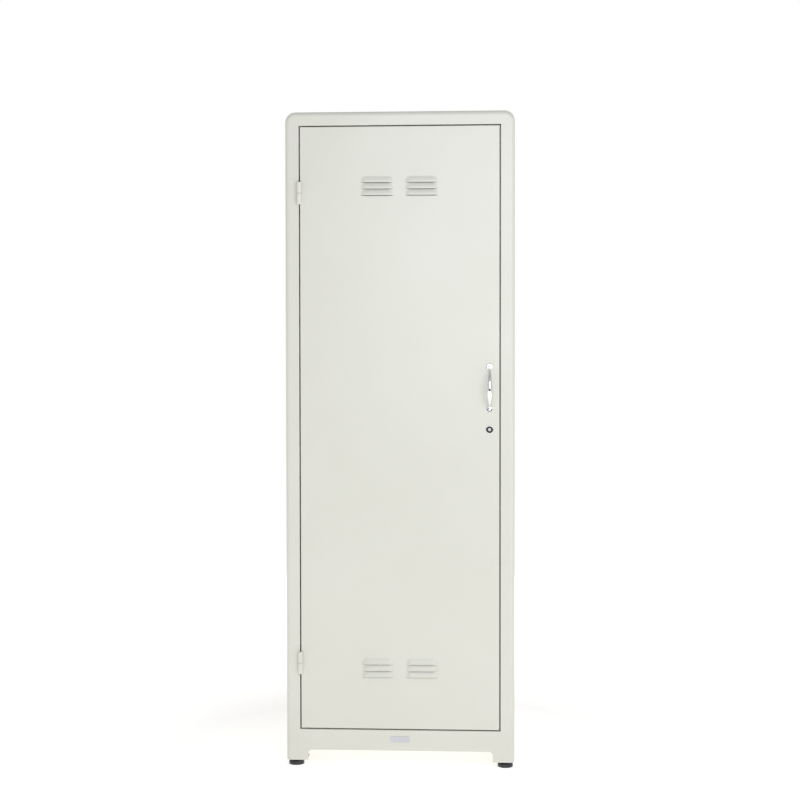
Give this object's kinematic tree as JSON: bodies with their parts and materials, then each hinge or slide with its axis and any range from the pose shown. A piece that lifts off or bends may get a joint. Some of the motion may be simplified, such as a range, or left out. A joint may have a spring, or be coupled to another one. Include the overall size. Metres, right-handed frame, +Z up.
{
  "type": "locker cabinet",
  "caption": "Tall single-door sheet-steel locker with louvred door, bow handle, cam lock, hat shelf, hanger rod and levelling feet.",
  "frame": {"origin": "on the floor, at the centre of the bottom of the whole object's box", "axes": "+X to the right seen from the front, door facing -Y, +Z up"},
  "size_m": [0.552, 0.48, 1.58],
  "materials": {
    "cabinet_paint": "semi-gloss cream enamel",
    "door_paint": "semi-gloss cream enamel",
    "chrome": "polished",
    "zinc_steel": "bright zinc plate",
    "plug_steel": "polished",
    "black_plastic": "gloss black",
    "white_plastic": "matte white",
    "foot_plastic": "dark grey moulded plastic",
    "rubber": "matte grey",
    "plate_aluminium": "satin"
  },
  "bodies": {
    "cabinet": {"left_side_panel": "cabinet_paint", "right_side_panel": "cabinet_paint", "top_panel": "cabinet_paint", "bottom_rail": "cabinet_paint", "rear_rail": "cabinet_paint", "back_panel": "cabinet_paint", "floor_panel": "cabinet_paint", "hat_shelf": "cabinet_paint", "shelf_rail_left": "cabinet_paint", "shelf_rail_right": "cabinet_paint", "lower_hinge_frame_leaf": "cabinet_paint", "lower_hinge_pin": "zinc_steel", "upper_hinge_frame_leaf": "cabinet_paint", "upper_hinge_pin": "zinc_steel", "hanger_rod": "chrome", "rod_socket_left": "chrome", "rod_socket_right": "chrome", "rod_socket_screws": "zinc_steel", "catch_screws": "zinc_steel", "catch_magnet": "zinc_steel", "foot_nuts": "zinc_steel", "catch_housing": "white_plastic", "door_bumpers": "rubber", "name_plate": "plate_aluminium", "name_plate_rivets": "plate_aluminium", "foot_plate_front_left": "cabinet_paint", "foot_plate_front_right": "cabinet_paint", "foot_plate_rear_left": "cabinet_paint", "foot_plate_rear_right": "cabinet_paint"},
    "door": {"door_panel": "door_paint", "door_stiffener": "door_paint", "strike_plate": "zinc_steel", "handle": "chrome", "handle_screws": "chrome", "handle_nuts": "zinc_steel", "lock_housing": "chrome", "lock_ring": "black_plastic", "lock_nut": "zinc_steel", "lower_hinge_door_leaf": "door_paint", "upper_hinge_door_leaf": "door_paint"},
    "lock_core": {"lock_plug": "plug_steel", "lock_cam": "zinc_steel", "lock_cam_screw": "zinc_steel"},
    "foot_front_left": {"foot_base_front_left": "foot_plastic", "foot_stud_front_left": "zinc_steel"},
    "foot_front_right": {"foot_base_front_right": "foot_plastic", "foot_stud_front_right": "zinc_steel"},
    "foot_rear_left": {"foot_base_rear_left": "foot_plastic", "foot_stud_rear_left": "zinc_steel"},
    "foot_rear_right": {"foot_base_rear_right": "foot_plastic", "foot_stud_rear_right": "zinc_steel"}
  },
  "joints": [
    {"name": "door_hinge", "type": "hinge", "parent": "cabinet", "child": "door", "pos_m": [-0.241, -0.21575, 0.8], "axis": [0, 0, -1], "range_deg": [0, 175]},
    {"name": "lock_turn", "type": "hinge", "parent": "door", "child": "lock_core", "pos_m": [0.216, -0.21, 0.8175], "axis": [0, -1, 0], "range_deg": [0, 90]},
    {"name": "foot_front_left_screw", "type": "slide", "parent": "cabinet", "child": "foot_front_left", "axis": [0, 0, -1], "range_m": [0, 0.015]},
    {"name": "foot_front_right_screw", "type": "slide", "parent": "cabinet", "child": "foot_front_right", "axis": [0, 0, -1], "range_m": [0, 0.015]},
    {"name": "foot_rear_left_screw", "type": "slide", "parent": "cabinet", "child": "foot_rear_left", "axis": [0, 0, -1], "range_m": [0, 0.015]},
    {"name": "foot_rear_right_screw", "type": "slide", "parent": "cabinet", "child": "foot_rear_right", "axis": [0, 0, -1], "range_m": [0, 0.015]}
  ]
}
